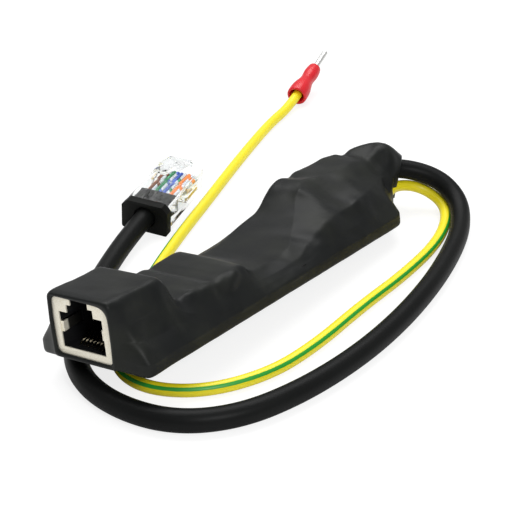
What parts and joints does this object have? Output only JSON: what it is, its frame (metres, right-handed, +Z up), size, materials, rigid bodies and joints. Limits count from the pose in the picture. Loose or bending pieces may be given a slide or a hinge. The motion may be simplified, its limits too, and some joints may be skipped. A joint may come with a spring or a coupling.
{
  "type": "ethernet surge protector",
  "caption": "In-line ethernet surge protector: a board with a network socket under black heat-shrink film, a short cable with a clear plug, and an earth wire with a pin terminal",
  "frame": {"origin": "under the middle of the leaning sleeve, on the table it lies on", "axes": "+Y runs from the socket's mouth towards the cable's end of the sleeve, +Z is up from the table, +X is to the right seen from the socket"},
  "size_m": [0.1021, 0.1827, 0.025],
  "materials": {
    "shrink_film": "satin",
    "circuit_board": "gloss",
    "tinned_sheet": "satin",
    "black_moulding": "matte",
    "gold_contact": "polished",
    "diode_epoxy": "semi-gloss",
    "tube_ceramic": "satin",
    "rectifier_case": "matte",
    "bare_copper": "bright",
    "cable_jacket": "satin",
    "earth_insulation": "satin, with a green stripe",
    "boot_moulding": "satin",
    "clear_plastic": "clear gloss",
    "red_sleeve": "gloss",
    "tinned_pin": "bright",
    "brown_core": "satin",
    "white_brown_core": "satin",
    "green_core": "satin",
    "white_blue_core": "satin",
    "blue_core": "satin",
    "white_green_core": "satin",
    "orange_core": "satin",
    "white_orange_core": "satin"
  },
  "bodies": {
    "protector": {"bridge_rectifier_1": "rectifier_case", "bridge_rectifier_2": "rectifier_case", "cable": "cable_jacket", "cable_core_1": "brown_core", "cable_core_2": "white_brown_core", "cable_core_3": "green_core", "cable_core_4": "white_blue_core", "cable_core_5": "blue_core", "cable_core_6": "white_green_core", "cable_core_7": "orange_core", "cable_core_8": "white_orange_core", "circuit_board": "circuit_board", "earth_core": "bare_copper", "earth_wire": "earth_insulation", "gas_tube_1": "tube_ceramic", "gas_tube_2": "tube_ceramic", "heat_shrink_sleeve": "shrink_film", "jack_contact_1": "gold_contact", "jack_contact_2": "gold_contact", "jack_contact_3": "gold_contact", "jack_contact_4": "gold_contact", "jack_contact_5": "gold_contact", "jack_contact_6": "gold_contact", "jack_contact_7": "gold_contact", "jack_contact_8": "gold_contact", "jack_insert": "black_moulding", "jack_shield": "tinned_sheet", "plug_blade_1": "gold_contact", "plug_blade_2": "gold_contact", "plug_blade_3": "gold_contact", "plug_blade_4": "gold_contact", "plug_blade_5": "gold_contact", "plug_blade_6": "gold_contact", "plug_blade_7": "gold_contact", "plug_blade_8": "gold_contact", "plug_conductor_1": "brown_core", "plug_conductor_2": "white_brown_core", "plug_conductor_3": "green_core", "plug_conductor_4": "white_blue_core", "plug_conductor_5": "blue_core", "plug_conductor_6": "white_green_core", "plug_conductor_7": "orange_core", "plug_conductor_8": "white_orange_core", "plug_housing": "clear_plastic", "strain_relief_boot": "boot_moulding", "suppressor_diode_1": "diode_epoxy", "suppressor_diode_2": "diode_epoxy", "suppressor_diode_3": "diode_epoxy", "suppressor_diode_4": "diode_epoxy", "suppressor_diode_5": "diode_epoxy", "suppressor_diode_6": "diode_epoxy", "terminal_core": "bare_copper", "terminal_pin": "tinned_pin", "terminal_sleeve": "red_sleeve"},
    "latch": {"plug_latch": "clear_plastic"}
  },
  "joints": [
    {"name": "latch_flex", "type": "hinge", "parent": "protector", "child": "latch", "pos_m": [-0.04471, 0.02644, 0.01032], "axis": [0.9619, 0.2631, -0.0748], "range_deg": [0, 10], "stiffness_Nm_per_rad": 0.02}
  ]
}
